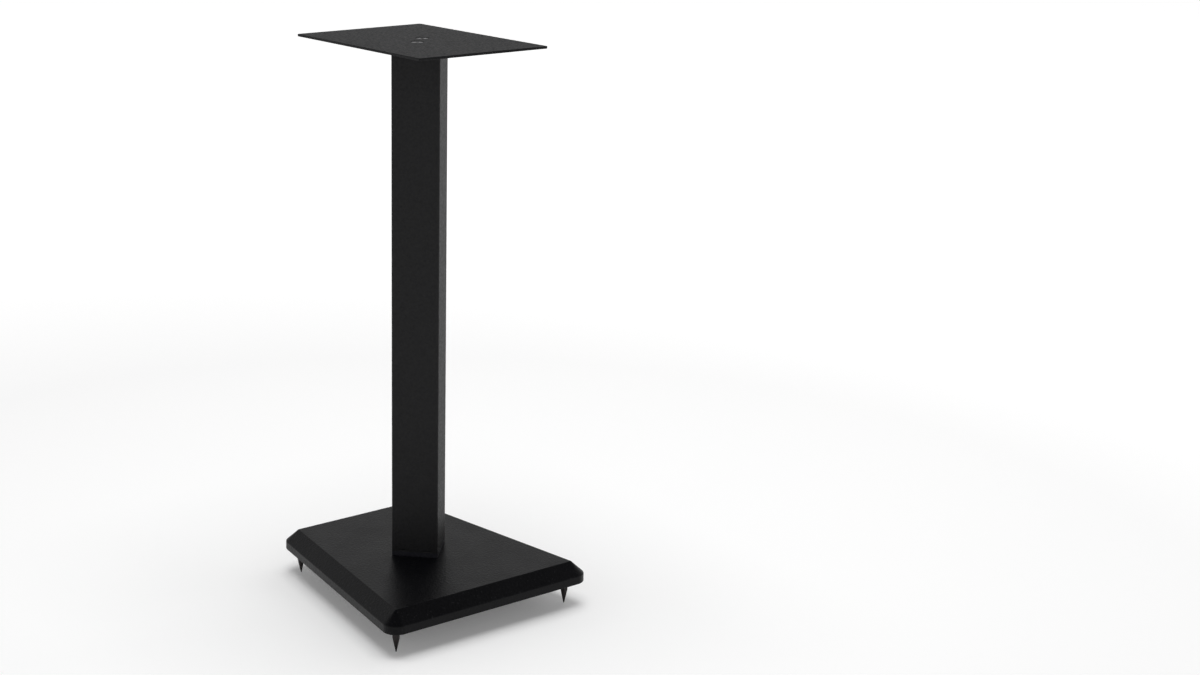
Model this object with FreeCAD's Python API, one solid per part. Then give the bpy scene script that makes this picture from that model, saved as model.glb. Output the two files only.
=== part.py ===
import FreeCAD, Part
import math
import os

# A floor stand for a small loudspeaker, in millimetres: a chamfered trapezoid board on four
# levelling spikes, a square steel column turned corner-first, and a steel plate on top.
# +Z is up and z = 0 is the floor that the spike points stand on. The origin is under the
# middle of the board, -Y is the wide front edge, and +X is the right side seen from the front.

# ---------------------------------------------------------------- overall
stand_height = 600.0

# ---------------------------------------------------------------- top plate
plate_width = 155.0              # along X
plate_depth = 220.0              # along Y
plate_thickness = 2.5
plate_corner_radius = 1.5
plate_edge_radius = 0.4          # softened edge under the powder coat

# ---------------------------------------------------------------- column
column_side = 50.0               # outside of the square tube
column_wall = 1.5
column_corner_radius = 2.0
column_turn = 45.0               # degrees, so that a corner of the tube faces forward

end_plate_thickness = 6.0
end_plate_recess = 7.0           # from the tube's end to the plate's outer face
end_plate_corner_cut = 1.5
end_plate_gap = 0.25             # all round, inside the tube

weld_leg = 3.0                   # stitch weld in the corner between tube and end plate
weld_length = 8.0
weld_offset = 12.0               # of each stitch from the middle of its wall

# ---------------------------------------------------------------- column screws
screw_spacing = 30.0             # the pair lies on a diagonal of the stand, corner to corner of the tube
screw_thread = 6.0
screw_runout = 1.0               # thread that shows past the end plate
screw_tip_chamfer = 0.75
hole_clearance = 0.3             # radial, where a screw passes through freely
thread_clearance = 0.05          # radial, between a screw and its thread

flat_head_diameter = 12.0
flat_head_cone = 90.0            # degrees, side to side
flat_head_land = 0.3             # short upright rim above the cone
flat_head_socket = 4.0           # across flats
flat_head_socket_depth = 2.5

dimple_diameter = 16.0           # where the plate starts to turn down round a screw
dimple_land = 1.0                # straight wall of the hole under the cone

cap_head_diameter = 10.0
cap_head_height = 6.0
cap_head_chamfer = 0.6
cap_head_socket = 5.0            # across flats
cap_head_socket_depth = 3.0
washer_diameter = 12.0
washer_thickness = 1.6
washer_bore_clearance = 0.2      # radial
cap_head_sink = 1.0              # head below the board's underside
counterbore_gap = 1.0            # radial, round the washer

# ---------------------------------------------------------------- base board
base_front_width = 260.0
base_rear_width = 180.0
base_depth = 273.0
base_thickness = 22.0
base_chamfer_width = 14.0
base_chamfer_height = 13.0
base_top_corner_radius = 1.0     # of the flat top face, inside the chamfer

# ---------------------------------------------------------------- levelling spikes
spike_drop = 27.0                # the board's underside above the floor
spike_thread = 6.0
spike_across_flats = 7.0         # of the hexagon body that a spanner turns
spike_cone_angle = 24.6          # degrees, side to side
spike_tip_diameter = 1.0
spike_shoulder_angle = 30.0      # of the body's chamfered upper corners, from level
spike_shoulder_share = 0.95      # diameter of the shoulder's flat, as a share of the width across flats
spike_end_chamfer = 0.75
spike_end_gap = 0.3              # above the spike in its blind hole
spike_travel = 6.0               # each spike screws out this far
spike_engagement = 8.0           # thread still held at full travel
spike_setback = 20.0             # from the front or rear edge
spike_front_side_inset = 17.4    # square to the slanted side edge
spike_rear_side_inset = 14.3
spike_facing = {"front_left": 45.0, "front_right": 55.0, "rear_left": 20.0, "rear_right": 35.0}   # degrees

insert_wall = 2.0
insert_flange_rim = 2.0          # the flange stands out this far round the body
insert_flange_thickness = 1.2
insert_fit = 0.05                # radial, in the board

nut_across_flats = 10.0
nut_thickness = 5.0
nut_chamfer_angle = 30.0         # of the rounded-off corners, from the flat face
nut_face_share = 0.95            # diameter of the flat face, as a share of the width across flats

overcut = 1.0                    # cutters run past the face that they open by this much

# ---------------------------------------------------------------- levels
board_bottom = spike_drop
board_top = board_bottom + base_thickness
plate_top = stand_height
plate_bottom = plate_top - plate_thickness
column_bottom = board_top
column_top = plate_bottom

UP = FreeCAD.Vector(0, 0, 1)


def point(x, y, z=0.0):
    return FreeCAD.Vector(x, y, z)


def turned(profile):
    """Solid made by turning a closed (radius, height) profile round the Z axis."""
    wire = Part.makePolygon([point(r, 0, z) for r, z in profile + profile[:1]])
    return Part.Face(wire).revolve(point(0, 0), UP, 360)


def disc(diameter, height, bottom):
    return Part.makeCylinder(diameter / 2, height, point(0, 0, bottom))


def hexagon(across_flats, height, bottom):
    corner = across_flats / math.sqrt(3)
    ring = [point(corner * math.cos(math.radians(60 * i)), corner * math.sin(math.radians(60 * i)), bottom)
            for i in range(6)]
    return Part.Face(Part.makePolygon(ring + ring[:1])).extrude(UP * height)


def rounded_square(side, radius, bottom, height):
    """Square prism about the Z axis, turned as the column is, with rounded upright edges."""
    box = Part.makeBox(side, side, height, point(-side / 2, -side / 2, bottom))
    upright = [edge for edge in box.Edges if abs(edge.tangentAt(edge.FirstParameter).z) > 0.5]
    box = box.makeFillet(radius, upright)
    box.rotate(point(0, 0), UP, column_turn)
    return box


def at(shape, x, y):
    moved = shape.copy()
    moved.translate(point(x, y))
    return moved


def save(name, shape):
    shape.exportStep(os.path.join("parts", name + ".step"))


# ---------------------------------------------------------------- where the fasteners stand
def column_screw_places():
    """The two screws at each end of the column, on the tube's own diagonal."""
    reach = screw_spacing / 2
    heading = math.radians(column_turn)
    x, y = reach * math.cos(heading), reach * math.sin(heading)
    return {"front_left": (-x, -y), "rear_right": (x, y)}


def side_slope():
    """How far each side edge comes in for every millimetre towards the rear."""
    return (base_front_width - base_rear_width) / 2 / base_depth


def spike_places():
    places = {}
    for end, inset in (("front", spike_front_side_inset), ("rear", spike_rear_side_inset)):
        from_front = spike_setback if end == "front" else base_depth - spike_setback
        half_width = base_front_width / 2 - side_slope() * from_front
        x = half_width - inset * math.hypot(1, side_slope())
        y = from_front - base_depth / 2
        places[end + "_left"] = (-x, y)
        places[end + "_right"] = (x, y)
    return places


# ---------------------------------------------------------------- top plate and its screws
cone_slope = math.radians(90 - flat_head_cone / 2)       # of the cone's side, from level
dimple_drop = (dimple_diameter - flat_head_diameter) / 2 * math.tan(cone_slope / 2)
head_rim = plate_top - dimple_drop           # where the screw's cone meets its rim
screw_hole_radius = screw_thread / 2 + hole_clearance
top_end_plate_outer = column_top - end_plate_recess
bottom_end_plate_outer = column_bottom + end_plate_recess


def cone_depth(run):
    """How far the cone of a screw's seat falls over a run inwards."""
    return run * math.tan(cone_slope)


def top_plate():
    """Flat sheet whose two screw holes are pressed down into cones, so that the heads lie low."""
    plate = Part.makeBox(plate_width, plate_depth, plate_thickness,
                         point(-plate_width / 2, -plate_depth / 2, plate_bottom))
    upright = [edge for edge in plate.Edges if abs(edge.tangentAt(edge.FirstParameter).z) > 0.5]
    plate = plate.makeFillet(plate_corner_radius, upright)
    rims = [edge for edge in plate.Edges if abs(edge.BoundBox.ZLength) < 1e-6]
    plate = plate.makeFillet(plate_edge_radius, rims)

    head_radius = flat_head_diameter / 2
    hole_top = head_rim - cone_depth(head_radius - screw_hole_radius)
    hole_bottom = hole_top - dimple_land
    under_cone = head_rim - plate_thickness / math.cos(cone_slope)       # below the head's rim
    under_rim = head_radius + (plate_bottom - under_cone) / math.tan(cone_slope)
    under_end = head_radius + (hole_bottom - under_cone) / math.tan(cone_slope)
    mid_sheet = plate_bottom + plate_thickness / 2
    boss = turned([(0, mid_sheet), (under_rim, mid_sheet), (under_rim, plate_bottom),
                   (under_end, hole_bottom), (0, hole_bottom)])
    for x, y in column_screw_places().values():
        plate = plate.fuse(at(boss, x, y))

    rim_radius = dimple_diameter / 2
    bend = (rim_radius - head_radius) / math.sin(cone_slope)
    middle = point(rim_radius - bend * math.sin(cone_slope / 2), 0,
                   plate_top - bend * (1 - math.cos(cone_slope / 2)))
    above = plate_top + overcut
    below = hole_bottom - overcut
    outline = [
        Part.LineSegment(point(0, 0, above), point(rim_radius, 0, above)),
        Part.LineSegment(point(rim_radius, 0, above), point(rim_radius, 0, plate_top)),
        Part.Arc(point(rim_radius, 0, plate_top), middle, point(head_radius, 0, head_rim)),
        Part.LineSegment(point(head_radius, 0, head_rim), point(screw_hole_radius, 0, hole_top)),
        Part.LineSegment(point(screw_hole_radius, 0, hole_top), point(screw_hole_radius, 0, below)),
        Part.LineSegment(point(screw_hole_radius, 0, below), point(0, 0, below)),
        Part.LineSegment(point(0, 0, below), point(0, 0, above)),
    ]
    cutter = Part.Face(Part.Wire([side.toShape() for side in outline])).revolve(point(0, 0), UP, 360)
    for x, y in column_screw_places().values():
        plate = plate.cut(at(cutter, x, y))
    return plate.removeSplitter()


def plate_screw():
    """Countersunk socket screw whose thread ends just past the end plate."""
    head_radius = flat_head_diameter / 2
    shank_radius = screw_thread / 2
    head_top = head_rim + flat_head_land
    tip = top_end_plate_outer - end_plate_thickness - screw_runout
    cone_end = head_rim - cone_depth(head_radius - shank_radius)
    screw = turned([(0, head_top), (head_radius, head_top), (head_radius, head_rim),
                    (shank_radius, cone_end), (shank_radius, tip + screw_tip_chamfer),
                    (shank_radius - screw_tip_chamfer, tip), (0, tip)])
    socket_floor = head_top - flat_head_socket_depth
    return screw.cut(hexagon(flat_head_socket, flat_head_socket_depth + overcut, socket_floor))


# ---------------------------------------------------------------- column
column_bore = column_side - 2 * column_wall


def column_tube():
    height = column_top - column_bottom
    outside = rounded_square(column_side, column_corner_radius, column_bottom, height)
    inner_radius = max(column_corner_radius - column_wall, column_wall / 5)
    inside = rounded_square(column_bore, inner_radius, column_bottom - overcut, height + 2 * overcut)
    return outside.cut(inside)


def end_plate(outer_face, inward):
    """Tapped plate inside one end of the tube; inward is +1 at the bottom and -1 at the top."""
    side = column_bore - 2 * end_plate_gap
    bottom = min(outer_face, outer_face + inward * end_plate_thickness)
    plate = Part.makeBox(side, side, end_plate_thickness, point(-side / 2, -side / 2, bottom))
    upright = [edge for edge in plate.Edges if abs(edge.tangentAt(edge.FirstParameter).z) > 0.5]
    plate = plate.makeChamfer(end_plate_corner_cut, upright)
    plate.rotate(point(0, 0), UP, column_turn)
    thread = disc(screw_thread + 2 * thread_clearance, end_plate_thickness + 2 * overcut, bottom - overcut)
    for x, y in column_screw_places().values():
        plate = plate.cut(at(thread, x, y))
    return plate


def end_welds(outer_face, outward):
    """Two stitches on each wall, between the tube and the outer face of an end plate."""
    wall = column_bore / 2
    stitches = []
    for quarter in range(4):
        for side in (-1, 1):
            start = side * weld_offset - weld_length / 2
            corner = [point(wall, start, outer_face), point(wall - weld_leg, start, outer_face),
                      point(wall, start, outer_face + outward * weld_leg)]
            bead = Part.Face(Part.makePolygon(corner + corner[:1])).extrude(point(0, weld_length))
            bead.rotate(point(0, 0), UP, column_turn + 90 * quarter)
            stitches.append(bead)
    return Part.makeCompound(stitches)


# ---------------------------------------------------------------- base board
def board_outline(inset, corner_radius, z):
    """The trapezoid, drawn in by inset on every side, with rounded corners."""
    half_depth = base_depth / 2 - inset
    side_inset = inset * math.hypot(1, side_slope())
    front = base_front_width / 2 - side_slope() * inset - side_inset
    rear = base_rear_width / 2 + side_slope() * inset - side_inset
    corners = [point(-front, -half_depth, z), point(front, -half_depth, z),
               point(rear, half_depth, z), point(-rear, half_depth, z)]
    starts, arcs = [], []
    for i, corner in enumerate(corners):
        back = (corners[i - 1] - corner).normalize()
        ahead = (corners[(i + 1) % 4] - corner).normalize()
        half_angle = back.getAngle(ahead) / 2
        reach = corner_radius / math.tan(half_angle)
        bisector = (back + ahead).normalize()
        nearest = corner + bisector * (corner_radius / math.sin(half_angle) - corner_radius)
        starts.append((corner + back * reach, corner + ahead * reach))
        arcs.append(Part.Arc(corner + back * reach, nearest, corner + ahead * reach).toShape())
    sides = []
    for i, arc in enumerate(arcs):
        sides.append(arc)
        sides.append(Part.LineSegment(starts[i][1], starts[(i + 1) % 4][0]).toShape())
    return Part.Wire(sides)


insert_diameter = spike_thread + 2 * thread_clearance + 2 * insert_wall
insert_flange_diameter = insert_diameter + 2 * insert_flange_rim
insert_length = spike_travel + spike_engagement
counterbore_diameter = washer_diameter + 2 * counterbore_gap
cap_head_bottom = board_bottom + cap_head_sink
washer_bottom = cap_head_bottom + cap_head_height
washer_top = washer_bottom + washer_thickness


def base_board():
    corner_radius = base_chamfer_width + base_top_corner_radius
    shoulder = board_top - base_chamfer_height
    underside = Part.Face(board_outline(0, corner_radius, board_bottom))
    edge_band = underside.extrude(UP * (shoulder - board_bottom))
    slope = Part.makeLoft([board_outline(0, corner_radius, shoulder),
                           board_outline(base_chamfer_width, base_top_corner_radius, board_top)], True, True)
    board = edge_band.fuse(slope)

    opening = board_bottom - overcut
    pocket = disc(insert_flange_diameter + 2 * insert_fit, insert_flange_thickness + overcut, opening)
    pocket_depth = insert_length + spike_end_gap
    pocket = pocket.fuse(disc(insert_diameter + 2 * insert_fit, pocket_depth + overcut, opening))
    for x, y in spike_places().values():
        board = board.cut(at(pocket, x, y))

    bolt_hole = disc(counterbore_diameter, washer_top - opening, opening)
    bolt_hole = bolt_hole.fuse(disc(2 * screw_hole_radius, base_thickness + 2 * overcut, opening))
    for x, y in column_screw_places().values():
        board = board.cut(at(bolt_hole, x, y))
    return board.removeSplitter()


def base_bolt():
    """Socket cap bolt, head down in the counterbore, screwed up into the column's end plate."""
    head_radius = cap_head_diameter / 2
    shank_radius = screw_thread / 2
    tip = bottom_end_plate_outer + end_plate_thickness + screw_runout
    bolt = turned([(0, cap_head_bottom), (head_radius - cap_head_chamfer, cap_head_bottom),
                   (head_radius, cap_head_bottom + cap_head_chamfer), (head_radius, washer_bottom),
                   (shank_radius, washer_bottom), (shank_radius, tip - screw_tip_chamfer),
                   (shank_radius - screw_tip_chamfer, tip), (0, tip)])
    return bolt.cut(hexagon(cap_head_socket, cap_head_socket_depth + overcut, cap_head_bottom - overcut))


def base_washer():
    ring = disc(washer_diameter, washer_thickness, washer_bottom)
    bore = screw_thread + 2 * washer_bore_clearance
    return ring.cut(disc(bore, washer_thickness + 2 * overcut, washer_bottom - overcut))


# ---------------------------------------------------------------- levelling hardware
def spike_insert():
    """Threaded sleeve pressed into the board, its flange flush with the underside."""
    sleeve = disc(insert_diameter, insert_length, board_bottom)
    sleeve = sleeve.fuse(disc(insert_flange_diameter, insert_flange_thickness, board_bottom))
    bore = spike_thread + 2 * thread_clearance
    return sleeve.cut(disc(bore, insert_length + 2 * overcut, board_bottom - overcut))


def lock_nut():
    """Thin hexagon nut, tight against the insert, its corners turned off on both faces."""
    bottom = board_bottom - nut_thickness
    corner_radius = nut_across_flats / math.sqrt(3)
    flat_radius = nut_across_flats / 2 * nut_face_share
    rise = (corner_radius - flat_radius) * math.tan(math.radians(nut_chamfer_angle))
    limit = turned([(0, bottom), (flat_radius, bottom), (corner_radius, bottom + rise),
                    (corner_radius, board_bottom - rise), (flat_radius, board_bottom), (0, board_bottom)])
    nut = hexagon(nut_across_flats, nut_thickness, bottom).common(limit)
    bore = spike_thread + 2 * thread_clearance
    return nut.cut(disc(bore, nut_thickness + 2 * overcut, bottom - overcut))


def spike():
    """Hexagon body with a long turned point, its stud screwed home until the body meets the nut."""
    tip_radius = spike_tip_diameter / 2
    corner_radius = spike_across_flats / math.sqrt(3)
    flat_radius = spike_across_flats / 2 * spike_shoulder_share
    cone_height = (corner_radius - tip_radius) / math.tan(math.radians(spike_cone_angle / 2))
    shoulder = board_bottom - nut_thickness
    fall = (corner_radius - flat_radius) * math.tan(math.radians(spike_shoulder_angle))
    limit = turned([(0, 0), (tip_radius, 0), (corner_radius, cone_height),
                    (corner_radius, shoulder - fall), (flat_radius, shoulder), (0, shoulder)])
    body = hexagon(spike_across_flats, shoulder, 0).common(limit)

    stud_radius = spike_thread / 2
    stud_top = board_bottom + insert_length
    root = shoulder - stud_radius
    stud = turned([(0, root), (stud_radius, root), (stud_radius, stud_top - spike_end_chamfer),
                   (stud_radius - spike_end_chamfer, stud_top), (0, stud_top)])
    return body.fuse(stud).removeSplitter()


os.makedirs("parts", exist_ok=True)

save("top_plate", top_plate())
save("column_tube", column_tube())
save("column_top_end_plate", end_plate(top_end_plate_outer, -1))
save("column_top_welds", end_welds(top_end_plate_outer, 1))
save("column_bottom_end_plate", end_plate(bottom_end_plate_outer, 1))
save("column_bottom_welds", end_welds(bottom_end_plate_outer, -1))
save("base_board", base_board())

for corner, (x, y) in column_screw_places().items():
    save("plate_screw_" + corner, at(plate_screw(), x, y))
    save("base_bolt_" + corner, at(base_bolt(), x, y))
    save("base_washer_" + corner, at(base_washer(), x, y))

for corner, (x, y) in spike_places().items():
    save("spike_insert_" + corner, at(spike_insert(), x, y))
    save("spike_lock_nut_" + corner, at(lock_nut(), x, y))
    turned_spike = spike()
    turned_spike.rotate(point(0, 0), UP, spike_facing[corner])
    save("spike_" + corner, at(turned_spike, x, y))
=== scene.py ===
import math
from contextlib import contextmanager

import bmesh
import bpy
from bpy.props import FloatProperty, FloatVectorProperty, PointerProperty
from mathutils import Matrix, Vector


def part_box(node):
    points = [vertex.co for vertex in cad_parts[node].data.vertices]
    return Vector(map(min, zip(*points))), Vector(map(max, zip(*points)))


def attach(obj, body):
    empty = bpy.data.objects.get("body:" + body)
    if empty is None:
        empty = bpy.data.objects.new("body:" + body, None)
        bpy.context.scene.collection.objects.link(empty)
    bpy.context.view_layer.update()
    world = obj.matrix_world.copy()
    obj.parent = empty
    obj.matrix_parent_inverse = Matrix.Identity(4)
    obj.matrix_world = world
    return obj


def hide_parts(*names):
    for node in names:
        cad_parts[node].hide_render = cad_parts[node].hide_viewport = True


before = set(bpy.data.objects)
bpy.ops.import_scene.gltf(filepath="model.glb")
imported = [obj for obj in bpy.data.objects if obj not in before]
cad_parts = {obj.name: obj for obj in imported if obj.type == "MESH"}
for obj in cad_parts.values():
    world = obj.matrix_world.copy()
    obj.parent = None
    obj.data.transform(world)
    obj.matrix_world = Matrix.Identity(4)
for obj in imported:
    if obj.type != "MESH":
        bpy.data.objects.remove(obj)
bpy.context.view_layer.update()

bl_info = {
    "name": "Speaker stand",
    "version": (1, 0, 0),
    "blender": (4, 5, 0),
    "location": "3D Viewport > Sidebar > Stand",
    "description": "Models a floor stand for a small loudspeaker around its CAD frame",
    "category": "Object",
}

MM = 0.001
UP = Vector((0, 0, 1))

# Screws, nuts and spikes
NECK = 0.91            # diameter of a screw between head and thread, as a share of the thread's
OVERCUT = 0.15 * MM    # a trimming solid runs past the thread by this much
THREAD_DEPTH = 0.54    # of a tooth, as a share of the pitch
TOOTH = (0.2, 0.8)     # where a tooth stands within one pitch
LEAD_IN = 2.37         # pitches wound below the cut, not a whole number so that no edge lies in it
FACE_SHARE = 0.95      # diameter of a hexagon's turned end face, as a share of its flats
BEVEL_SLOPE = math.radians(30)    # of a hexagon's turned corners
PAST_CORNER = 1.001    # a turned trimming solid stands outside the hexagon's corners by this share
BROKEN_EDGE = 0.2 * MM    # of washers and inserts

# The board's pockets
INSERT_FIT = 0.05 * MM      # round an insert
SPIKE_END_GAP = 0.3 * MM    # above a spike in its blind hole
WASHER_GAP = MM             # round a washer in its counterbore

# Finishes
COAT_GRAIN = 2.6 * MM
FOOT_BAND_COAT = "101017"
# Painted highlight: pale colour that stands in for glints on the lacquer's largest nibs
PAINTED_GLINT = "2A2A2B"
SAWN_STEEL = "77787A"
WELD_STEEL = "4A4744"

# The camera, solved from the photograph in its own pixels
FRAME_WIDTH, FRAME_HEIGHT = 1200, 675
FOCAL_LENGTH = 1996.16
SIGHT = (409.56, 346.23)    # where the line of sight meets the whole picture
SENSOR = 36                 # mm across, which only fixes the scale of the focal length

# The light: each lamp's name, place in m, side of its square in m and power in W
LAMPS = (("overhead", (0.0, 0.0, 3.2), 2.5, 75.0), ("side", (2.4, 0.4, 2.0), 2.0, 9.0))
LAMP_AIM = Vector((0, 0, 0.3))
# The room's brightness by height: the sine of the elevation, and the level there
ROOM = ((0.0, 1.0), (0.17, 0.7), (0.3, 0.5), (0.5, 0.7), (0.77, 0.05), (1.0, 0.05))


# ---------------------------------------------------------------- values in the panel
def linear(code):
    """The linear colour of an sRGB hex value."""
    shades = [int(code[i:i + 2], 16) / 255 for i in (0, 2, 4)]
    return tuple(s / 12.92 if s <= 0.04045 else ((s + 0.055) / 1.055) ** 2.4 for s in shades)


def length(name, millimetres, description):
    """A size in the panel, given here in millimetres and kept in metres."""
    return FloatProperty(name=name, description=description, default=millimetres * MM,
                         min=0.0, precision=5, subtype="DISTANCE", unit="LENGTH")


def angle(name, degrees, description):
    return FloatProperty(name=name, description=description, default=math.radians(degrees),
                         subtype="ANGLE", unit="ROTATION")


def colour(name, code, description):
    return FloatVectorProperty(name=name, description=description, default=linear(code),
                               size=3, min=0.0, max=1.0, subtype="COLOR")


class PlateValues(bpy.types.PropertyGroup):
    corner: length("Corner radius", 1.5, "Of the sheet's corners, seen from above")
    edge: length("Edge radius", 0.4, "Softened edge under the powder coat")
    thickness: length("Sheet", 2.5, "Thickness of the steel sheet")
    dimple: length("Dimple", 16.0, "Diameter where the sheet starts to turn down round a screw")
    land: length("Hole land", 1.0, "Straight wall of the hole under the cone")
    coat: colour("Coat", "0C0C0E", "Black powder coat of the sheet")


class ColumnValues(bpy.types.PropertyGroup):
    side: length("Side", 50.0, "Outside of the square tube")
    wall: length("Wall", 1.5, "Wall of the tube")
    corner: length("Corner radius", 2.0, "Outside radius of the tube's long corners")
    rim: length("Rim", 0.25, "Deburred edge at the tube's two ends")
    coat: colour("Coat", "08080A", "Black powder coat of the tube")
    end_gap: length("End plate gap", 0.25, "Round an end plate, inside the tube")
    end_cut: length("End plate corner", 1.5, "Cut off each corner of an end plate")
    mark_offset: length("Mark offset", 13.0, "Of each weld mark from the middle of its wall")
    mark_rise: length("Mark rise", 6.5, "Of the weld marks above the foot of the tube")
    mark_length: length("Mark length", 13.0, "Of each weld mark")
    mark_width: length("Mark width", 2.6, "Of each weld mark")
    mark_depth: length("Mark depth", 0.45, "How far the heat drew the wall in")


class BoardValues(bpy.types.PropertyGroup):
    front_width: length("Front width", 260.0, "Of the front edge, before its corners are rounded")
    rear_width: length("Rear width", 180.0, "Of the rear edge, before its corners are rounded")
    corner: length("Corner radius", 15.0, "Of the board's upright corners")
    chamfer_width: length("Chamfer width", 14.0, "Of the slope round the top, seen from above")
    chamfer_height: length("Chamfer height", 13.0, "Of the slope round the top")
    edge: length("Edge radius", 0.6, "Sanded edges under the lacquer")
    lacquer: colour("Lacquer", "08080A", "Black satin lacquer of the board")


class HardwareValues(bpy.types.PropertyGroup):
    thread: length("Thread", 6.0, "Diameter of every thread")
    pitch: length("Pitch", 1.0, "Of every thread")
    tip_chamfer: length("Tip chamfer", 0.75, "At the end of every thread")
    flat_head: length("Flat head", 12.0, "Diameter of the plate screws' heads")
    flat_land: length("Flat head land", 0.3, "Upright rim above the cone of a plate screw")
    flat_socket: length("Flat head socket", 4.0, "Across its flats")
    flat_depth: length("Flat socket depth", 2.5, "Of a plate screw's hexagon socket")
    cap_head: length("Cap head", 10.0, "Diameter of the board bolts' heads")
    cap_chamfer: length("Cap chamfer", 0.6, "Round the cap head's outer face")
    cap_socket: length("Cap socket", 5.0, "Across its flats")
    cap_depth: length("Cap socket depth", 3.0, "Of a board bolt's hexagon socket")
    washer: length("Washer", 12.0, "Outside diameter of a washer")
    washer_bore: length("Washer bore", 6.4, "Inside diameter of a washer")
    bore: length("Threaded bore", 6.1, "Of the inserts, lock nuts and end plates")
    clear_bore: length("Clear bore", 6.6, "Where a screw passes through freely")
    flange: length("Insert flange", 14.1, "Diameter of an insert's flange")
    flange_rim: length("Flange rim", 2.0, "How far the flange stands out round the sleeve")
    flange_thickness: length("Flange thickness", 1.2, "Of an insert's flange")
    nut: length("Lock nut", 10.0, "Across its flats")
    spike: length("Spike", 7.0, "Across the flats of the hexagon body")
    spike_tip: length("Spike tip", 1.0, "Diameter of the blunted point")
    spike_cone: angle("Spike cone", 24.6, "Of the point, side to side")
    oxide: colour("Black oxide", "545456", "Of the plate screws and the board bolts")
    zinc: colour("Zinc", "B9BCBE", "Of the washers and inserts")
    blackened: colour("Blackened steel", "2C2929", "Of the spikes and their lock nuts")


class StageValues(bpy.types.PropertyGroup):
    floor: colour("Floor", "F4F4F4", "Plain pale floor")
    heading: angle("Camera heading", -34.808, "0 looks along +Y, and positive turns to -X")
    height: angle("Camera elevation", 16.176, "Above the horizon")
    roll: angle("Camera roll", 0.06, "About the line of sight")
    distance: length("Camera distance", 2106.6, "From the point that the camera aims beside")
    beside: length("Aim beside", 10.03, "Aimed this far to the camera's left of the column's axis")
    above: length("Aim height", 277.65, "Of the aimed point above the floor")


VALUE_GROUPS = {"plate": PlateValues, "column": ColumnValues, "board": BoardValues,
                "hardware": HardwareValues, "stage": StageValues}


class StandValues(bpy.types.PropertyGroup):
    plate: PointerProperty(type=PlateValues, name="Plate", description="Top plate")
    column: PointerProperty(type=ColumnValues, name="Column",
                            description="Column and its end plates")
    board: PointerProperty(type=BoardValues, name="Board", description="Base board")
    hardware: PointerProperty(type=HardwareValues, name="Hardware", description="Screws and spikes")
    stage: PointerProperty(type=StageValues, name="Stage", description="Floor and camera")


# ---------------------------------------------------------------- modelling by hand
def clear():
    """Object mode, with nothing selected."""
    if bpy.context.mode != "OBJECT":
        bpy.ops.object.mode_set(mode="OBJECT")
    bpy.ops.object.select_all(action="DESELECT")


def only(piece):
    clear()
    piece.select_set(True)
    bpy.context.view_layer.objects.active = piece


def settle(name):
    """Names the primitive that was just added and puts its place into its mesh."""
    piece = bpy.context.active_object
    piece.name = piece.data.name = name
    only(piece)
    bpy.ops.object.transform_apply(location=True, rotation=True, scale=True)
    return piece


def block(name, size, middle, heading=0.0):
    clear()
    bpy.ops.mesh.primitive_cube_add(size=1, location=middle, rotation=(0, 0, heading), scale=size)
    return settle(name)


def prism(name, across_flats, low, high):
    """Hexagon bar about the Z axis, with a corner on +X."""
    clear()
    bpy.ops.mesh.primitive_cylinder_add(
        vertices=6, radius=across_flats / math.sqrt(3), depth=high - low,
        location=(0, 0, (low + high) / 2), rotation=(0, 0, math.radians(30)))
    return settle(name)


@contextmanager
def editing(piece, kind):
    """Edit mode on one piece, in vertex, edge or face mode, with nothing selected."""
    only(piece)
    bpy.ops.object.mode_set(mode="EDIT")
    bpy.ops.mesh.select_mode(type=kind)
    bpy.ops.mesh.select_all(action="DESELECT")
    yield piece
    bpy.ops.object.mode_set(mode="OBJECT")


def select(piece, kind, test):
    """Selects what passes a test of its middle and, for a face or an edge, its direction."""
    mesh = bmesh.from_edit_mesh(piece.data)
    count = 0
    if kind == "VERT":
        for vert in mesh.verts:
            vert.select_set(test(vert.co))
            count += vert.select
    elif kind == "EDGE":
        for edge in mesh.edges:
            ends = [vert.co for vert in edge.verts]
            edge.select_set(test((ends[0] + ends[1]) / 2, (ends[1] - ends[0]).normalized()))
            count += edge.select
    else:
        for face in mesh.faces:
            face.select_set(test(face.calc_center_median(), face.normal))
            count += face.select
    mesh.select_flush_mode()
    bmesh.update_edit_mesh(piece.data)
    if not count:
        raise RuntimeError(f"nothing to select on {piece.name}")


def near(a, b, slack=2e-5):
    return abs(a - b) < slack


def upright(mid, way):
    """True for an upright edge, and for a level face."""
    return abs(way.z) > 0.9


def lies_at(mid, way, *heights):
    """True for a level edge at one of the heights."""
    return abs(way.z) < 0.01 and any(near(mid.z, height) for height in heights)


def turn(name, profile, sides=48):
    """Round solid about the Z axis: a disc that is extruded, then scaled, from step to step.

    Each step of the profile is a radius and a height. One that ends where it starts has a bore."""
    clear()
    radius, height = profile[0]
    closed = profile[-1] == profile[0]
    bpy.ops.mesh.primitive_circle_add(vertices=sides, radius=radius, location=(0, 0, height),
                                      fill_type="NOTHING" if closed else "NGON")
    piece = settle(name)
    with editing(piece, "VERT" if closed else "FACE"):
        bpy.ops.mesh.select_all(action="SELECT")
        for wide, high in profile[1:]:
            lift = (0, 0, high - height)
            bpy.ops.mesh.extrude_region_move(TRANSFORM_OT_translate={"value": lift})
            share = wide / radius
            bpy.ops.transform.resize(value=(share, share, 1), center_override=(0, 0, high))
            radius, height = wide, high
        bpy.ops.mesh.select_all(action="SELECT")
        bpy.ops.mesh.remove_doubles(threshold=1e-6)
        bpy.ops.mesh.normals_make_consistent(inside=False)
    return piece


def apply_modifier(piece, kind, **settings):
    only(piece)
    change = piece.modifiers.new(kind.title(), kind)
    for key, value in settings.items():
        setattr(change, key, value)
    bpy.ops.object.modifier_apply(modifier=change.name)


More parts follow.
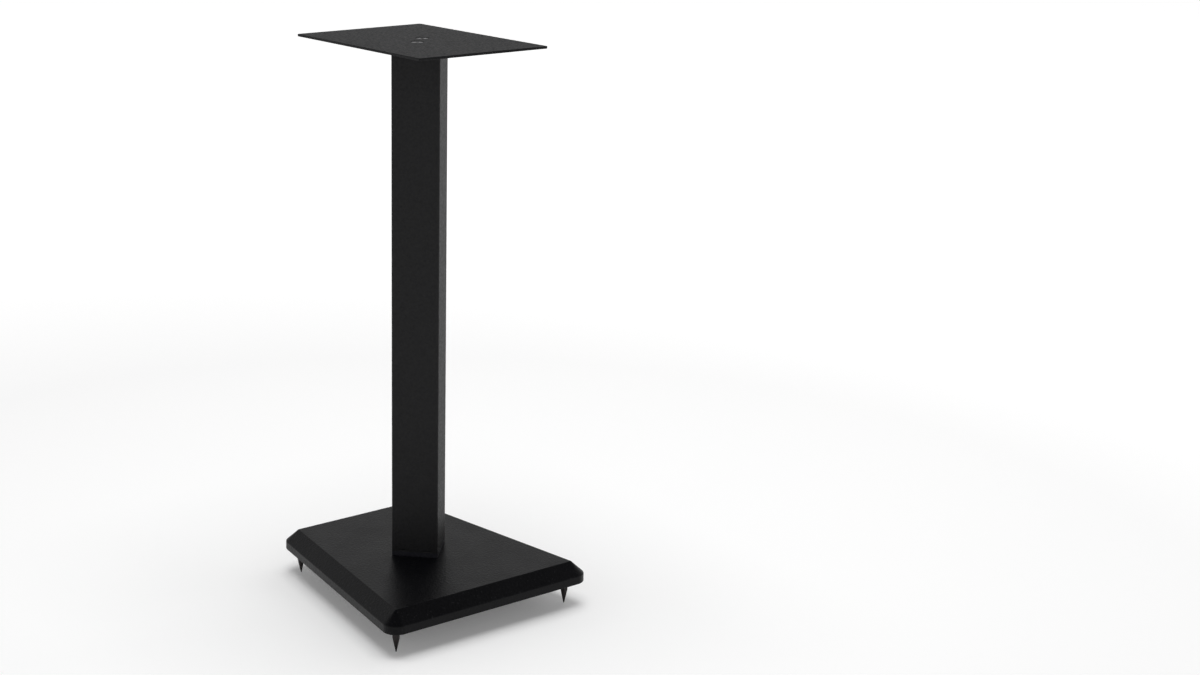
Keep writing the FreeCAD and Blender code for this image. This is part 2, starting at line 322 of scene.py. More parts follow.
def combine(piece, tool, how):
    """Cuts, joins or trims a piece with a second solid, which is then removed.

    The last step closes up the slivers that a boolean leaves."""
    apply_modifier(piece, "BOOLEAN", operation=how, solver="EXACT", object=tool)
    bpy.data.meshes.remove(tool.data)
    with editing(piece, "VERT"):
        bpy.ops.mesh.select_all(action="SELECT")
        bpy.ops.mesh.dissolve_degenerate(threshold=1e-6)
    return piece


def copied(piece, name, place=(0, 0, 0), heading=0.0):
    """A copy with its own mesh, turned about the Z axis and then moved."""
    only(piece)
    bpy.ops.object.duplicate(linked=False)
    twin = bpy.context.active_object
    twin.name = twin.data.name = name
    twin.data.transform(Matrix.Translation(Vector(place)) @ Matrix.Rotation(heading, 4, "Z"))
    return twin


def moved(piece, place):
    piece.data.transform(Matrix.Translation((place.x, place.y, 0)))
    return piece


def drop(piece):
    bpy.data.meshes.remove(piece.data)


def thread(name, diameter, pitch, low, high, limit, sides=40):
    """Real thread about the Z axis: one tooth wound up a helix, cut flat and trimmed by a limit."""
    depth = THREAD_DEPTH * pitch
    root = diameter / 2 - depth
    clear()
    start = low - LEAD_IN * pitch
    bpy.ops.mesh.primitive_plane_add(size=pitch, location=(root - pitch / 2, 0, start + pitch / 2),
                                     rotation=(math.radians(90), 0, 0))
    piece = settle(name)
    with editing(piece, "VERT"):
        select(piece, "VERT", lambda co: co.x < root - pitch / 2)
        bpy.ops.mesh.delete(type="VERT")
        bpy.ops.mesh.select_all(action="SELECT")
        bpy.ops.mesh.subdivide(number_cuts=2)
        select(piece, "VERT", lambda co: pitch * TOOTH[0] < co.z - start < pitch * TOOTH[1])
        bpy.ops.transform.translate(value=(depth, 0, 0))
    turns = math.ceil((high - low) / pitch) + 4
    apply_modifier(piece, "SCREW", axis="Z", screw_offset=pitch, iterations=turns, steps=sides,
                   render_steps=sides, use_smooth_shade=False)
    with editing(piece, "VERT"):
        bpy.ops.mesh.select_all(action="SELECT")
        bpy.ops.mesh.remove_doubles(threshold=2e-6)
        bpy.ops.mesh.select_all(action="SELECT")
        bpy.ops.mesh.bisect(plane_co=(0, 0, low), plane_no=UP, use_fill=True, clear_inner=True,
                            threshold=1e-7)
        bpy.ops.mesh.select_all(action="SELECT")
        bpy.ops.mesh.bisect(plane_co=(0, 0, high), plane_no=UP, use_fill=True, clear_outer=True,
                            threshold=1e-7)
        bpy.ops.mesh.select_all(action="SELECT")
        bpy.ops.mesh.normals_make_consistent(inside=False)
    return combine(piece, limit, "INTERSECT")


def round_corner(piece, corner, before, after, radius, segments=12):
    """Rounds one corner of a flat outline to a true arc, in edit mode."""
    back, ahead = (before - corner).normalized(), (after - corner).normalized()
    half = back.angle(ahead) / 2
    middle = corner + (back + ahead).normalized() * (radius / math.sin(half))
    select(piece, "VERT", lambda co: (co - corner).length < MM)
    bpy.ops.mesh.bevel(offset=radius / math.tan(half), segments=segments, profile=0.5,
                       affect="VERTICES", clamp_overlap=False)
    bpy.ops.transform.tosphere(value=1.0, center_override=middle)
    mesh = bmesh.from_edit_mesh(piece.data)
    reached = next((vert.co - middle).length for vert in mesh.verts if vert.select)
    share = radius / reached
    bpy.ops.transform.resize(value=(share, share, 1), center_override=middle)


def soften(piece, test, width, segments):
    """Rounds the edges that pass a test."""
    with editing(piece, "EDGE"):
        select(piece, "EDGE", test)
        bpy.ops.mesh.bevel(offset=width, segments=segments, profile=0.5, affect="EDGES",
                           clamp_overlap=False)


def finish_piece(piece, material, body, nodes):
    """Shading, finish and the CAD body and nodes that the piece stands for."""
    only(piece)
    bpy.ops.object.shade_smooth_by_angle(angle=math.radians(30))
    piece.data.materials.clear()
    piece.data.materials.append(material)
    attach(piece, body)
    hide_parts(*nodes)


# ---------------------------------------------------------------- finishes
def add(tree, kind, inputs=None, **settings):
    """Adds a node with its settings. An input is a value, or a (node, output) pair to link from."""
    made = tree.nodes.new("ShaderNode" + kind)
    for key, value in settings.items():
        setattr(made, key, value)
    for socket, value in (inputs or {}).items():
        if isinstance(value, tuple) and isinstance(value[0], bpy.types.Node):
            tree.links.new(value[0].outputs[value[1]], made.inputs[socket])
        else:
            made.inputs[socket].default_value = value
    return made


def blank(name):
    """A material with only its output, and the piece's own coordinates."""
    material = bpy.data.materials.get(name) or bpy.data.materials.new(name)
    material.use_nodes = True
    tree = material.node_tree
    tree.nodes.clear()
    output = tree.nodes.new("ShaderNodeOutputMaterial")
    place = add(tree, "TexCoord")
    return material, tree, output, place


def opaque(shade):
    return (*shade, 1.0)


def toned(shade, share):
    """A colour times a share: darker below 1, and lighter above."""
    return opaque([channel * share for channel in shade])


def blend(tree, share, first, second, how="MIX"):
    """Mixes two colours. On this node, inputs 6 and 7 and output 2 are the colours."""
    return add(tree, "Mix", {0: share, 6: first, 7: second}, data_type="RGBA", blend_type=how), 2


def spread(tree, value, low, high, to_low=0.0, to_high=1.0):
    """Stretches the range of a value, such as the narrow band that a noise really fills."""
    return add(tree, "MapRange", {"Value": value, "From Min": low, "From Max": high,
                                  "To Min": to_low, "To Max": to_high}), "Result"


def powder_coat(name, shade, roughness, reflection, foot=None):
    """Fine-textured powder coat, sprayed and baked on steel: matt on the sheet and satin on the
    tube, with an even grain.

    The real grain is about 0.5 mm and too fine to show here, so it is drawn five times coarser.
    Below the height foot the coat is drawn a little bluer and lighter."""
    material, tree, output, place = blank(name)
    where = (place, "Object")
    fine = add(tree, "TexNoise", {"Vector": where, "Scale": 1 / COAT_GRAIN, "Detail": 3.0,
                                  "Roughness": 0.6})
    broad = add(tree, "TexNoise", {"Vector": where, "Scale": 1 / (60 * MM), "Detail": 2.0})
    cloud = spread(tree, (broad, "Fac"), 0.35, 0.65)
    tint = blend(tree, cloud, toned(shade, 0.94), toned(shade, 1.06))
    speck = spread(tree, (fine, "Fac"), 0.35, 0.65, 0.8, 1.2)
    grained = blend(tree, 1.0, tint, speck, "MULTIPLY")
    if foot is not None:
        # A little bluer and lighter colour below the height foot
        height = add(tree, "SeparateXYZ", {"Vector": where})
        foot_band = spread(tree, (height, "Z"), foot - 0.4 * MM, foot + 0.4 * MM, 1.0, 0.0)
        grained = blend(tree, foot_band, grained, opaque(linear(FOOT_BAND_COAT)))
    matt = spread(tree, (fine, "Fac"), 0.3, 0.7, roughness - 0.1, roughness + 0.1)
    bump = add(tree, "Bump", {"Height": (fine, "Fac"), "Strength": 1.0, "Distance": 0.35 * MM})
    coat = add(tree, "BsdfPrincipled", {"Base Color": grained, "Roughness": matt,
                                        "Normal": (bump, "Normal"), "IOR": 1.5,
                                        "Specular IOR Level": reflection})
    tree.links.new(coat.outputs[0], output.inputs["Surface"])
    return material


def lacquered_board(name, shade):
    """Satin black lacquer sprayed on sanded fibreboard: semi-gloss, uneven like orange peel.

    The peel's real wavelength is about 2 mm. The dust-fine nibs in it are drawn about 2 mm wide to
    show, and on the largest of them a glint is painted into the colour as a pale fleck."""
    material, tree, output, place = blank(name)
    where = (place, "Object")
    peel = add(tree, "TexNoise", {"Vector": where, "Scale": 1 / (2.6 * MM), "Detail": 2.0})
    nibs = add(tree, "TexNoise", {"Vector": where, "Scale": 1 / (2.2 * MM), "Detail": 2.0,
                                  "Roughness": 0.7})
    broad = add(tree, "TexNoise", {"Vector": where, "Scale": 1 / (45 * MM), "Detail": 3.0})
    cloud = spread(tree, (broad, "Fac"), 0.3, 0.7)
    tint = blend(tree, cloud, toned(shade, 0.93), toned(shade, 1.07))
    speck = spread(tree, (nibs, "Fac"), 0.4, 0.75, 0.85, 1.6)
    uneven = blend(tree, 1.0, tint, speck, "MULTIPLY")
    # Painted highlight: the largest nibs get a pale fleck of colour in place of a glint
    large = spread(tree, (nibs, "Fac"), 0.66, 0.74)
    glint_painted = blend(tree, large, uneven, opaque(linear(PAINTED_GLINT)))
    satin = spread(tree, (broad, "Fac"), 0.3, 0.7, 0.34, 0.4)
    height = add(tree, "Math", {0: (peel, "Fac"), 1: (nibs, "Fac")}, operation="ADD")
    bump = add(tree, "Bump", {"Height": (height, "Value"), "Strength": 1.0, "Distance": 0.2 * MM})
    coat = add(tree, "BsdfPrincipled", {"Base Color": glint_painted, "Roughness": satin,
                                        "Normal": (bump, "Normal"), "IOR": 1.5,
                                        "Specular IOR Level": 0.12})
    tree.links.new(coat.outputs[0], output.inputs["Surface"])
    return material


def steel(name, shade, roughness, metallic, grain, stretch=1.0):
    """Steel with its tool marks, of the size grain. Where they run round a turned piece, stretch
    squeezes them along Z."""
    material, tree, output, place = blank(name)
    squeeze = add(tree, "Mapping", {"Vector": (place, "Object"), "Scale": (1.0, 1.0, stretch)})
    marks = add(tree, "TexNoise", {"Vector": (squeeze, "Vector"), "Scale": 1 / grain,
                                   "Detail": 3.0})
    broad = add(tree, "TexNoise", {"Vector": (place, "Object"), "Scale": 1 / (2.5 * MM),
                                   "Detail": 3.0})
    cloud = spread(tree, (broad, "Fac"), 0.3, 0.7)
    tint = blend(tree, cloud, toned(shade, 0.85), toned(shade, 1.12))
    rough = spread(tree, (marks, "Fac"), 0.3, 0.7, roughness - 0.07, roughness + 0.07)
    bump = add(tree, "Bump", {"Height": (marks, "Fac"), "Strength": 0.2, "Distance": 0.02 * MM})
    metal = add(tree, "BsdfPrincipled", {"Base Color": tint, "Roughness": rough,
                                         "Normal": (bump, "Normal"), "Metallic": metallic})
    tree.links.new(metal.outputs[0], output.inputs["Surface"])
    return material


# ---------------------------------------------------------------- places read from the frame
def centre(node):
    low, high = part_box(node)
    return (low + high) / 2


SCREWS = ("front_left", "rear_right")
CORNERS = ("front_left", "front_right", "rear_left", "rear_right")
SPIKE_FACING = {"front_left": 45.0, "front_right": 55.0, "rear_left": 20.0, "rear_right": 35.0}


def screw_places():
    return {corner: centre("plate_screw_" + corner) for corner in SCREWS}


def spike_places():
    return {corner: centre("spike_insert_" + corner) for corner in CORNERS}


# ---------------------------------------------------------------- operators
class STAND_OT_plate(bpy.types.Operator):
    """Steel sheet with its two pressed dimples"""
    bl_idname = "stand.plate"
    bl_label = "Top plate"

    def execute(self, context):
        values = context.scene.stand.plate
        tools = context.scene.stand.hardware
        low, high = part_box("top_plate")
        top = high.z
        bottom = top - values.thickness
        middle = Vector((0, 0, (top + bottom) / 2))
        size = (high.x - low.x, high.y - low.y, values.thickness)
        plate = block("speaker_plate", size, middle)
        soften(plate, upright, values.corner, segments=5)

        head = tools.flat_head / 2
        clear_hole = tools.clear_bore / 2
        drop_to_rim = (values.dimple / 2 - head) * math.tan(math.radians(45 / 2))
        rim = top - drop_to_rim
        hole_top = rim - (head - clear_hole)
        hole_bottom = hole_top - values.land
        under = rim - values.thickness * math.sqrt(2)
        boss_rim = head + bottom - under
        boss_end = head + hole_bottom - under
        bend = (values.dimple / 2 - head) * math.sqrt(2)
        arc = [(values.dimple / 2 - bend * math.sin(math.radians(a)),
                top - bend * (1 - math.cos(math.radians(a)))) for a in (0, 11, 22, 33, 45)]
        for place in screw_places().values():
            boss = turn("boss", [(boss_rim, middle.z), (boss_rim, bottom), (boss_end, hole_bottom)],
                        sides=96)
            combine(plate, moved(boss, place), "UNION")
            cutter = turn("cutter", [(values.dimple / 2, top + MM), *arc, (clear_hole, hole_top),
                                     (clear_hole, hole_bottom - MM)], sides=96)
            combine(plate, moved(cutter, place), "DIFFERENCE")
        reach = (size[0] / 2 - 2 * values.corner, size[1] / 2 - 2 * values.corner)
        soften(plate, lambda mid, way: lies_at(mid, way, top, bottom)
               and (abs(mid.x) > reach[0] or abs(mid.y) > reach[1]), values.edge, segments=3)
        finish = powder_coat("powder_coated_sheet_steel", values.coat, roughness=0.55,
                             reflection=0.15)
        finish_piece(plate, finish, "stand", ["top_plate"])
        apply_modifier(plate, "WEIGHTED_NORMAL", keep_sharp=True)
        return {"FINISHED"}


def is_outside(mid, values):
    """True for a point on the outer skin of the tube, and false on its bore or its cut ends."""
    along, across = (mid.x + mid.y) / math.sqrt(2), (mid.y - mid.x) / math.sqrt(2)
    half = values.side / 2
    if near(max(abs(along), abs(across)), half):
        return True
    middle = half - values.corner
    off = Vector((abs(along) - middle, abs(across) - middle))
    return min(off) > 0 and abs(off.length - values.corner) < 0.1 * MM


def weld_mark(values, height, heading, offset):
    """Lens that cuts one shallow mark: a sphere that is flat across the wall and long along it."""
    clear()
    bpy.ops.mesh.primitive_uv_sphere_add(segments=48, ring_count=24, radius=1.0)
    mark = settle("mark")
    depth = 4 * values.mark_depth
    wider = 1 / math.sqrt(1 - (1 - values.mark_depth / depth) ** 2)
    with editing(mark, "VERT"):
        bpy.ops.mesh.select_all(action="SELECT")
        bpy.ops.transform.resize(value=(depth, values.mark_length / 2 * wider,
                                        values.mark_width / 2 * wider))
        bpy.ops.transform.translate(value=(values.side / 2 + depth - values.mark_depth, offset,
                                           height))
    mark.data.transform(Matrix.Rotation(heading, 4, "Z"))
    return mark


class STAND_OT_column(bpy.types.Operator):
    """Square steel tube, turned corner-first"""
    bl_idname = "stand.column"
    bl_label = "Column"

    def execute(self, context):
        values = context.scene.stand.column
        low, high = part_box("column_tube")
        size = (values.side, values.side, high.z - low.z)
        tube = block("column", size, (0, 0, (low.z + high.z) / 2), math.radians(45))
        with editing(tube, "FACE"):
            select(tube, "FACE", upright)
            bpy.ops.mesh.delete(type="FACE")
        soften(tube, upright, values.corner, segments=6)
        apply_modifier(tube, "SOLIDIFY", thickness=values.wall, offset=-1.0, use_even_offset=True)
        soften(tube, lambda mid, way: lies_at(mid, way, low.z, high.z)
               and is_outside(mid, values), values.rim, segments=2)
        for wall in range(4):
            heading = math.radians(45 + 90 * wall)
            for offset in (-values.mark_offset, values.mark_offset):
                mark = weld_mark(values, low.z + values.mark_rise, heading, offset)
                combine(tube, mark, "DIFFERENCE")
        finish = powder_coat("powder_coated_steel_tube", values.coat, roughness=0.61,
                             reflection=0.28,
                             foot=low.z + values.mark_rise - values.mark_width / 2)
        finish_piece(tube, finish, "stand", ["column_tube"])
        apply_modifier(tube, "WEIGHTED_NORMAL", keep_sharp=True)
        return {"FINISHED"}


class STAND_OT_end_plates(bpy.types.Operator):
    """Tapped plates welded inside the tube's two ends"""
    bl_idname = "stand.end_plates"
    bl_label = "End plates"

    def execute(self, context):
        values = context.scene.stand.column
        tools = context.scene.stand.hardware
        side = values.side - 2 * values.wall - 2 * values.end_gap
        # Bare cut mild steel: mid grey with dull saw marks
        finish = steel("sawn_mild_steel", linear(SAWN_STEEL), roughness=0.5, metallic=1.0,
                       grain=0.8 * MM)
        for end in ("top", "bottom"):
            node = f"column_{end}_end_plate"
            low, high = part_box(node)
            plate = block(f"tapped_plate_{end}", (side, side, high.z - low.z),
                          (0, 0, (low.z + high.z) / 2), math.radians(45))
            soften(plate, upright, values.end_cut, segments=1)
            for place in screw_places().values():
                hole = turn("hole", [(tools.bore / 2, low.z - MM), (tools.bore / 2, high.z + MM)])
                combine(plate, moved(hole, place), "DIFFERENCE")
            finish_piece(plate, finish, "stand", [node])
        return {"FINISHED"}


class STAND_OT_board(bpy.types.Operator):
    """Chamfered fibreboard base with its pockets"""
    bl_idname = "stand.board"
    bl_label = "Base board"

    def execute(self, context):
        values = context.scene.stand.board
        tools = context.scene.stand.hardware
        low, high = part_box("base_board")
        width, depth = values.front_width, high.y - low.y
        shoulder = high.z - values.chamfer_height
        clear()
        bpy.ops.mesh.primitive_plane_add(size=1, location=(0, 0, low.z))
        bpy.ops.transform.resize(value=(width, depth, 1))
        board = settle("base")
        with editing(board, "VERT"):
            select(board, "VERT", lambda co: co.y > 0)
            bpy.ops.transform.resize(value=(values.rear_width / width, 1, 1),
                                     center_override=(0, 0, 0))
            wide, narrow = width / 2, values.rear_width / 2
            outline = [Vector((-wide, low.y, low.z)), Vector((wide, low.y, low.z)),
                       Vector((narrow, high.y, low.z)), Vector((-narrow, high.y, low.z))]
            for i, corner in enumerate(outline):
                round_corner(board, corner, outline[i - 1], outline[(i + 1) % 4], values.corner)
        with editing(board, "FACE"):
            bpy.ops.mesh.select_all(action="SELECT")
            lift = (0, 0, shoulder - low.z)
            bpy.ops.mesh.extrude_region_move(TRANSFORM_OT_translate={"value": lift})
            bpy.ops.mesh.inset(thickness=values.chamfer_width, depth=values.chamfer_height,
                               use_even_offset=True)
            bpy.ops.mesh.select_all(action="SELECT")
            bpy.ops.mesh.normals_make_consistent(inside=False)
        for level in (high.z, shoulder, low.z):
            soften(board, lambda mid, way: lies_at(mid, way, level), values.edge, segments=3)

        opening = low.z - MM
        flange = tools.flange / 2 + INSERT_FIT
        sleeve = flange - tools.flange_rim
        step = low.z + tools.flange_thickness
        pocket_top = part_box("spike_insert_front_left")[1].z + SPIKE_END_GAP
        for place in spike_places().values():
            pocket = turn("pocket", [(flange, opening), (flange, step), (sleeve, step),
                                     (sleeve, pocket_top)], sides=64)
            combine(board, moved(pocket, place), "DIFFERENCE")
        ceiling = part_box("base_washer_front_left")[1].z
        counterbore = tools.washer / 2 + WASHER_GAP
        for place in screw_places().values():
            bolt_hole = turn("bolt_hole", [(counterbore, opening), (counterbore, ceiling),
                                           (tools.clear_bore / 2, ceiling),
                                           (tools.clear_bore / 2, high.z + MM)], sides=64)
            combine(board, moved(bolt_hole, place), "DIFFERENCE")
        finish_piece(board, lacquered_board("satin_lacquered_fibreboard", values.lacquer),
                     "stand", ["base_board"])
        apply_modifier(board, "WEIGHTED_NORMAL", keep_sharp=True)
        return {"FINISHED"}


class STAND_OT_plate_screws(bpy.types.Operator):
    """Countersunk socket screws that hold the top plate"""
    bl_idname = "stand.plate_screws"
    bl_label = "Plate screws"

    def execute(self, context):
        values = context.scene.stand.hardware
        low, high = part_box("plate_screw_front_left")
        head, shank = values.flat_head / 2, values.thread / 2
        neck, over = shank * NECK, OVERCUT
        rim = high.z - values.flat_land
        cone_end = rim - (head - neck)
        edge = 0.12 * MM
        screw = turn("screw", [(neck, cone_end - 2 * MM), (neck, cone_end), (head, rim),
                               (head, high.z - edge), (head - edge, high.z)], sides=64)
        socket = prism("socket", values.flat_socket, high.z - values.flat_depth, high.z + MM)
        combine(screw, socket, "DIFFERENCE")
        tip = values.tip_chamfer
        limit = turn("limit", [(shank - tip - over, low.z - over),
                               (shank + over, low.z + tip + over), (shank + over, cone_end)])
        rod = thread("rod", values.thread, values.pitch, low.z, cone_end - MM, limit)
        combine(screw, rod, "UNION")
        # Black oxide, dipped, on machined steel: dark grey with a soft gloss
        finish = steel("black_oxide_steel", values.oxide, roughness=0.3, metallic=0.9,
                       grain=0.5 * MM)
        for corner, place in screw_places().items():
            piece = copied(screw, "countersunk_screw_" + corner, (place.x, place.y, 0))
            finish_piece(piece, finish, "stand", ["plate_screw_" + corner])
        drop(screw)
        return {"FINISHED"}


class STAND_OT_board_bolts(bpy.types.Operator):
    """Socket cap bolts and washers under the board"""
    bl_idname = "stand.board_bolts"
    bl_label = "Board bolts"

    def execute(self, context):
        values = context.scene.stand.hardware
        low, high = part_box("base_bolt_front_left")
        washer_low, washer_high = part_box("base_washer_front_left")
        head, shank = values.cap_head / 2, values.thread / 2
        cut = values.cap_chamfer
        neck, over = shank * NECK, OVERCUT
        ridges = 30
        bolt = turn("bolt", [(head - cut, low.z), (head, low.z + cut), (head, washer_low.z),
                             (neck, washer_low.z), (neck, washer_low.z + 2 * MM)],
                    sides=2 * ridges)
        with editing(bolt, "FACE"):
            step = math.tau / (2 * ridges)
            select(bolt, "FACE", lambda mid, way: abs(way.z) < 0.1 and mid.xy.length > head * 0.9
                   and round(math.atan2(mid.y, mid.x) / step - 0.5) % 2 == 0)
            bpy.ops.mesh.inset(thickness=0.08 * MM, depth=-0.15 * MM, use_individual=True)
        socket = prism("socket", values.cap_socket, low.z - MM, low.z + values.cap_depth)
        combine(bolt, socket, "DIFFERENCE")
        tip = values.tip_chamfer
        limit = turn("limit", [(shank + over, washer_low.z), (shank + over, high.z - tip - over),
                               (shank - tip - over, high.z + over)])
        rod = thread("rod", values.thread, values.pitch, washer_low.z + MM, high.z, limit)
        combine(bolt, rod, "UNION")
        # Black oxide as on the plate screws, a little duller on a knurled head
        finish = steel("black_oxide_bolt_steel", values.oxide, roughness=0.4, metallic=0.9,
                       grain=0.5 * MM)
        soft = BROKEN_EDGE
        outer, inner = values.washer / 2, values.washer_bore / 2
        under, over = washer_low.z, washer_high.z
        washer = turn("washer", [(inner, under), (outer - soft, under), (outer, under + soft),
                                 (outer, over - soft), (outer - soft, over), (inner, over),
                                 (inner, under)], sides=64)
        # Bright zinc plate on steel: pale silver grey, slightly cloudy
        plated = steel("zinc_plated_steel", values.zinc, roughness=0.35, metallic=1.0,
                       grain=0.6 * MM)
        for corner, place in screw_places().items():
            where = (place.x, place.y, 0)
            piece = copied(bolt, "cap_bolt_" + corner, where)
            finish_piece(piece, finish, "stand", ["base_bolt_" + corner])
            piece = copied(washer, "washer_" + corner, where)
            finish_piece(piece, plated, "stand", ["base_washer_" + corner])
        drop(bolt)
        drop(washer)
        return {"FINISHED"}


class STAND_OT_inserts(bpy.types.Operator):
    """Threaded inserts pressed into the board"""
    bl_idname = "stand.inserts"
    bl_label = "Inserts"

    def execute(self, context):
        values = context.scene.stand.hardware
        low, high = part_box("spike_insert_front_left")
        flange = values.flange / 2
        sleeve = flange - values.flange_rim
        bore = values.bore / 2
        soft = BROKEN_EDGE
        step = low.z + values.flange_thickness
        insert = turn("insert", [(bore + soft, low.z), (flange - soft, low.z),
                                 (flange, low.z + soft), (flange, step), (sleeve, step),
                                 (sleeve, high.z), (bore, high.z), (bore, low.z + soft),
                                 (bore + soft, low.z)], sides=64)
        # Bright zinc plate, as on the washers
        plated = steel("zinc_plated_insert_steel", values.zinc, roughness=0.35, metallic=1.0,
                       grain=0.6 * MM)
        for corner, place in spike_places().items():
            piece = copied(insert, "insert_" + corner, (place.x, place.y, 0))
            finish_piece(piece, plated, "stand", ["spike_insert_" + corner])
        drop(insert)
        return {"FINISHED"}


class STAND_OT_lock_nuts(bpy.types.Operator):
    """Hexagon lock nuts under the board"""
    bl_idname = "stand.lock_nuts"
    bl_label = "Lock nuts"

    def execute(self, context):
        values = context.scene.stand.hardware
        low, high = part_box("spike_lock_nut_front_left")
        corner_radius = values.nut / math.sqrt(3)
        flat = values.nut / 2 * FACE_SHARE
        rise = (corner_radius - flat) * math.tan(BEVEL_SLOPE)
        bore = values.bore / 2
        sink = 0.45 * MM
        nut = prism("nut", values.nut, low.z, high.z)
        past = corner_radius * PAST_CORNER
        limit = turn("limit", [(bore + sink, low.z), (flat, low.z), (past, low.z + rise),
                               (past, high.z - rise), (flat, high.z), (bore + sink, high.z),
                               (bore, high.z - sink), (bore, low.z + sink),
                               (bore + sink, low.z)], sides=72)
        combine(nut, limit, "INTERSECT")
        # Black zinc plate on machined steel: near black and dull
        finish = steel("blackened_nut_steel", values.blackened, roughness=0.4, metallic=0.85,
                       grain=0.5 * MM)
        for corner, place in spike_places().items():
            piece = copied(nut, "lock_nut_" + corner, (place.x, place.y, 0))
            finish_piece(piece, finish, "stand", ["spike_lock_nut_" + corner])
        drop(nut)
        return {"FINISHED"}


class STAND_OT_spikes(bpy.types.Operator):
    """Levelling spikes: threaded stud, hexagon body and long point"""
    bl_idname = "stand.spikes"
    bl_label = "Spikes"

    def execute(self, context):
        values = context.scene.stand.hardware
        low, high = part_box("spike_front_left")
        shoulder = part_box("spike_lock_nut_front_left")[0].z
        tip = values.spike_tip / 2
        corner_radius = values.spike / math.sqrt(3)
        flat = values.spike / 2 * FACE_SHARE
        cone_top = (corner_radius - tip) / math.tan(values.spike_cone / 2)
        fall = (corner_radius - flat) * math.tan(BEVEL_SLOPE)
        body = prism("body", values.spike, low.z - MM, shoulder + MM)
        past = corner_radius * PAST_CORNER
        limit = turn("limit", [(tip, low.z), (past, cone_top * PAST_CORNER),
                               (past, shoulder - fall), (flat, shoulder)], sides=96)
        combine(body, limit, "INTERSECT")
        shank, over = values.thread / 2, OVERCUT
        chamfer = values.tip_chamfer
        end = turn("end", [(shank + over, shoulder - 3 * MM),
                           (shank + over, high.z - chamfer - over),
                           (shank - chamfer - over, high.z + over)])
        stud = thread("stud", values.thread, values.pitch, shoulder - 2 * MM, high.z, end)
        combine(body, stud, "UNION")
        # Black nickel plate on turned steel: near black, with fine rings that glint
        finish = steel("blackened_turned_steel", values.blackened, roughness=0.35, metallic=0.85,
                       grain=2.0 * MM, stretch=12.0)
        for corner, place in spike_places().items():
            piece = copied(body, "levelling_spike_" + corner, (place.x, place.y, 0),
                           math.radians(SPIKE_FACING[corner]))
            finish_piece(piece, finish, "spike_" + corner, ["spike_" + corner])
        drop(body)
        return {"FINISHED"}


class STAND_OT_welds(bpy.types.Operator):
    """Finish of the stitch welds inside the tube"""
    bl_idname = "stand.welds"
    bl_label = "Welds"

    def execute(self, context):
        # Bare weld metal, cooled in air: rippled and brownish grey
        finish = steel("weld_bead_steel", linear(WELD_STEEL), roughness=0.5, metallic=0.9,
                       grain=MM)
        for end in ("top", "bottom"):
            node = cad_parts[f"column_{end}_welds"]
            node.data.materials.clear()
            node.data.materials.append(finish)
        return {"FINISHED"}


class STAND_OT_stage(bpy.types.Operator):
    """Pale floor, soft light and the camera"""
    bl_idname = "stand.stage"
    bl_label = "Stage"

    def execute(self, context):
        values = context.scene.stand.stage
        clear()
        bpy.ops.mesh.primitive_grid_add(size=40, x_subdivisions=4, y_subdivisions=4,
                                        location=(0, 0, 0))
        floor = settle("floor")
        floor.data.materials.append(floor_paint(values.floor))
        self.light(context)
        self.camera(context, values)
        return {"FINISHED"}

    def camera(self, context, values):
        """Stands where the photograph was taken from, and sees the same frame."""
        data = bpy.data.cameras.new("camera")
        camera = bpy.data.objects.new("camera", data)
        context.scene.collection.objects.link(camera)
        heading, height = values.heading, values.height
        back = Vector((math.sin(heading) * math.cos(height),
                       -math.cos(heading) * math.cos(height), math.sin(height)))
        right = Vector((math.cos(heading), math.sin(heading), 0))
        aim = Vector((0, 0, values.above)) - right * values.beside
        facing = (-back).to_track_quat("-Z", "Y")
        camera.rotation_mode = "QUATERNION"
        camera.rotation_quaternion = facing @ Matrix.Rotation(values.roll, 3, "Z").to_quaternion()
        camera.location = aim + back * values.distance
        data.lens = FOCAL_LENGTH / FRAME_WIDTH * SENSOR
        data.sensor_width = SENSOR
        data.shift_x = (FRAME_WIDTH / 2 - SIGHT[0]) / FRAME_WIDTH
        data.shift_y = (SIGHT[1] - FRAME_HEIGHT / 2) / FRAME_WIDTH
        data.clip_start = 0.05
        data.clip_end = 50
        context.scene.camera = camera

    def light(self, context):
        """Even studio light: a room that is white round the horizon and dark overhead, and two
        large soft lamps, which stay out of the reflections so that only room and floor show."""
        world = bpy.data.worlds.new("studio")
        context.scene.world = world
        world.use_nodes = True
        tree = world.node_tree
        tree.nodes.clear()
        output = tree.nodes.new("ShaderNodeOutputWorld")
        place = add(tree, "TexCoord")
        split = add(tree, "SeparateXYZ", {"Vector": (place, "Generated")})
        room = add(tree, "ValToRGB", {"Fac": (split, "Z")})
        ramp = room.color_ramp
        while len(ramp.elements) < len(ROOM):
            ramp.elements.new(0.5)
        for stop, (height, level) in zip(ramp.elements, ROOM):
            stop.position = height
            stop.color = (level, level, level, 1.0)
        glow = add(tree, "Background", {"Color": (room, "Color"), "Strength": 1.0})
        tree.links.new(glow.outputs[0], output.inputs["Surface"])
        for name, place, size, power in LAMPS:
            data = bpy.data.lights.new(name, "AREA")
            data.shape = "SQUARE"
            data.size = size
            data.energy = power
            lamp = bpy.data.objects.new(name, data)
            lamp.visible_glossy = False
            context.scene.collection.objects.link(lamp)
            lamp.location = place
            lamp.rotation_mode = "QUATERNION"
            lamp.rotation_quaternion = (LAMP_AIM - Vector(place)).to_track_quat("-Z", "Y")
        context.scene.view_settings.view_transform = "Standard"


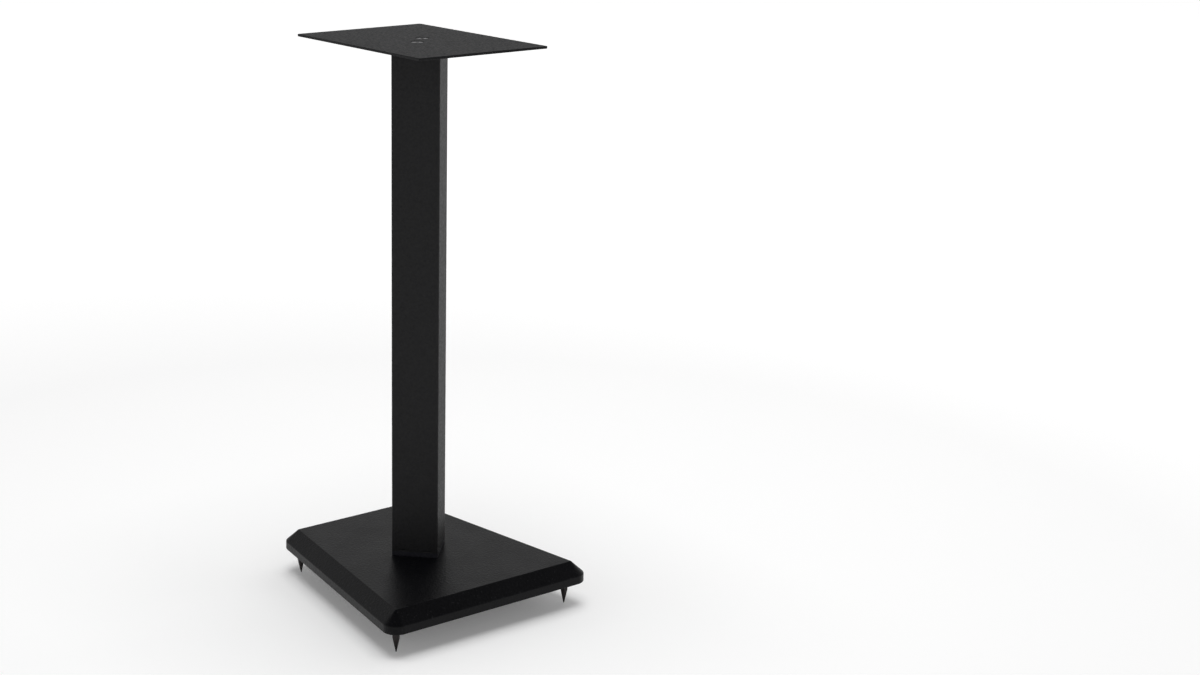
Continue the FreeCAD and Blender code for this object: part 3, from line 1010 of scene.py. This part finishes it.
def floor_paint(shade):
    """Matt white paint. Its own light only tops it up to white, and less so near the stand, so
    that the shadow stays. Only rays that are seen get it, so it doesn't light the stand."""
    material, tree, output, place = blank("matt_white_paint")
    away = add(tree, "VectorMath", {0: (place, "Object")}, operation="LENGTH")
    missing = spread(tree, (away, "Value"), 0.9, 3.0, 0.12, 0.7)
    path = add(tree, "LightPath")
    paint = add(tree, "BsdfDiffuse", {"Color": opaque(shade)})
    top_up = add(tree, "Emission", {"Color": (1, 1, 1, 1), "Strength": missing})
    topped = add(tree, "AddShader", {0: (paint, 0), 1: (top_up, 0)})
    seen = add(tree, "Math", {0: (path, "Is Camera Ray"), 1: (path, "Is Glossy Ray")},
               operation="MAXIMUM")
    seen = add(tree, "Math", {0: (seen, "Value"), 1: (path, "Is Transmission Ray")},
               operation="MAXIMUM")
    mixed = add(tree, "MixShader", {0: (seen, "Value"), 1: (paint, 0), 2: (topped, 0)})
    tree.links.new(mixed.outputs[0], output.inputs["Surface"])
    return material


class STAND_PT_panel(bpy.types.Panel):
    """Lists the stand's pieces and values"""
    bl_idname = "STAND_PT_panel"
    bl_label = "Speaker stand"
    bl_space_type = "VIEW_3D"
    bl_region_type = "UI"
    bl_category = "Stand"

    def draw(self, context):
        layout = self.layout
        for group, values in VALUE_GROUPS.items():
            box = layout.box()
            box.label(text=group.title())
            for key in values.__annotations__:
                box.prop(getattr(context.scene.stand, group), key)
        for operator in OPERATORS:
            layout.operator(operator.bl_idname)


OPERATORS = (STAND_OT_plate, STAND_OT_column, STAND_OT_end_plates, STAND_OT_welds, STAND_OT_board,
             STAND_OT_plate_screws, STAND_OT_board_bolts, STAND_OT_inserts, STAND_OT_lock_nuts,
             STAND_OT_spikes, STAND_OT_stage)
CLASSES = (*VALUE_GROUPS.values(), StandValues, *OPERATORS, STAND_PT_panel)


def register():
    for kind in CLASSES:
        bpy.utils.register_class(kind)
    bpy.types.Scene.stand = PointerProperty(type=StandValues, name="Stand",
                                            description="Sizes and colours of the speaker stand")


def unregister():
    del bpy.types.Scene.stand
    for kind in reversed(CLASSES):
        bpy.utils.unregister_class(kind)


def main():
    register()
    for operator in OPERATORS:
        group, name = operator.bl_idname.split(".")
        getattr(getattr(bpy.ops, group), name)()


if __name__ == "__main__":
    main()
